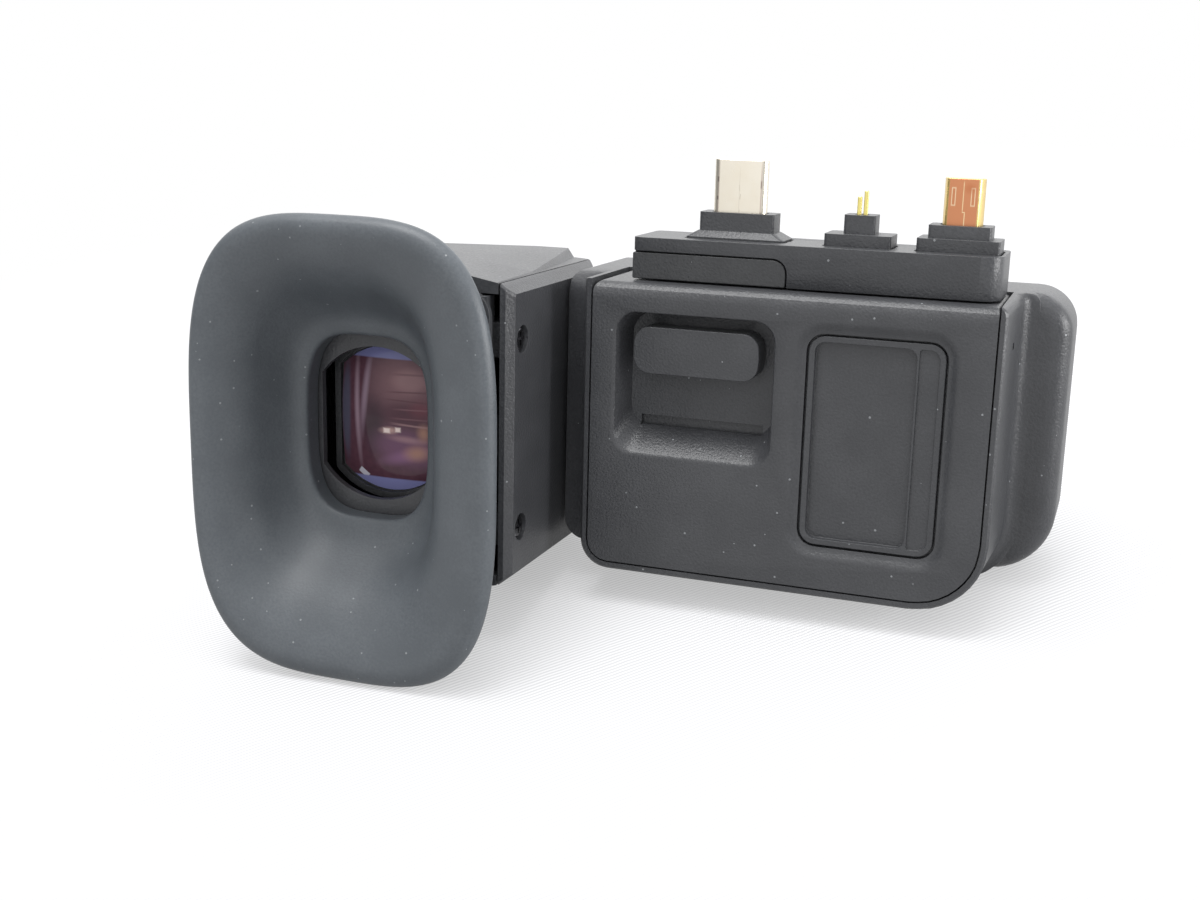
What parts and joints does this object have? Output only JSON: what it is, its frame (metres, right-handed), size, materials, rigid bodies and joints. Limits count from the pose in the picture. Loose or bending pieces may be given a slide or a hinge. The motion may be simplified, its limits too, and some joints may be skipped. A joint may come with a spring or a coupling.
{
  "type": "electronic viewfinder",
  "caption": "Clip-on viewfinder: base with data, video and contact plugs, selector lever and storage tray, and a tilting eyepiece head with a deep rubber eyecup.",
  "frame": {"origin": "on the flat top of the connector block, midway between the data plug and the contact, where the block seats against the camera", "axes": "+Z out of the block along the plugs, towards the camera; -Y along the view out of the eyecup, towards the user; -X up in use"},
  "size_m": [0.1222, 0.0639, 0.0771],
  "materials": {
    "charcoal_plastic": "fine matt texture, charcoal",
    "dark_plastic": "matt, near black",
    "soft_rubber": "smooth matt rubber, blue-grey charcoal",
    "plug_steel": "satin nickel, warm silver",
    "plug_gold": "gold plated",
    "contact_insert": "black moulded insert",
    "black_steel": "blackened steel",
    "bright_steel": "plain steel",
    "circuit_board": "green circuit board",
    "chip_black": "black moulded package",
    "coated_glass": "coated optical glass, mauve reflection",
    "display_black": "glossy black display"
  },
  "bodies": {
    "base": {"base_shell": "charcoal_plastic", "rear_cover": "charcoal_plastic", "storage_tray": "charcoal_plastic", "connector_block": "charcoal_plastic", "connector_panel": "dark_plastic", "data_plug_collar": "dark_plastic", "data_plug_shell": "plug_steel", "data_plug_insert": "contact_insert", "contact_collar": "dark_plastic", "contact_pin_long": "plug_gold", "contact_pin_short": "plug_gold", "video_plug_collar": "dark_plastic", "video_plug_shell": "plug_gold", "video_plug_insert": "contact_insert", "detent_spring": "bright_steel", "selector_switch": "chip_black", "plug_board": "circuit_board", "main_board": "circuit_board", "bridge_chip": "chip_black", "power_chip": "chip_black", "headphone_socket": "dark_plastic", "charge_socket": "bright_steel", "shell_screw_1": "black_steel", "shell_screw_2": "black_steel", "shell_screw_3": "black_steel", "shell_screw_4": "black_steel", "hinge_knuckle": "black_steel", "hinge_pin_upper": "bright_steel", "hinge_pin_lower": "bright_steel", "friction_washer_upper": "bright_steel", "friction_washer_lower": "bright_steel"},
    "selector": {"selector_lever": "charcoal_plastic", "selector_carrier": "dark_plastic"},
    "head": {"head_cover": "charcoal_plastic", "head_bottom_cover": "charcoal_plastic", "head_screw_1": "black_steel", "head_screw_2": "black_steel", "head_screw_3": "black_steel", "head_screw_4": "black_steel", "eyepiece_frame": "dark_plastic", "eyecup": "soft_rubber", "guide_rod_upper": "bright_steel", "guide_rod_lower": "bright_steel", "display_panel": "display_black", "display_window": "coated_glass", "display_holder": "dark_plastic", "head_board": "circuit_board"},
    "lens": {"lens_barrel": "dark_plastic", "eye_lens": "coated_glass", "middle_lens": "coated_glass", "rear_lens": "coated_glass", "lens_ring": "dark_plastic"},
    "dial": {"diopter_dial": "dark_plastic", "dial_cam": "bright_steel"}
  },
  "joints": [
    {"name": "head_tilt", "type": "hinge", "parent": "base", "child": "head", "pos_m": [-0.04383, 0.0079, -0.02919], "axis": [0, 0, -1], "range_deg": [0, 90]},
    {"name": "selector_slide", "type": "slide", "parent": "base", "child": "selector", "axis": [0, 0, -1], "range_m": [0, 0.0052]},
    {"name": "diopter_turn", "type": "hinge", "parent": "head", "child": "dial", "pos_m": [-0.06032, -0.0119, -0.05379], "axis": [0, 0, 1], "range_deg": [-150.5, 150.5]},
    {"name": "lens_focus", "type": "slide", "parent": "head", "child": "lens", "axis": [0, 1, 0], "range_m": [-0.0015, 0.0015]}
  ],
  "couplings": [
    {"joint": "diopter_turn", "follows": "lens_focus", "rad_per_m": 1745}
  ]
}
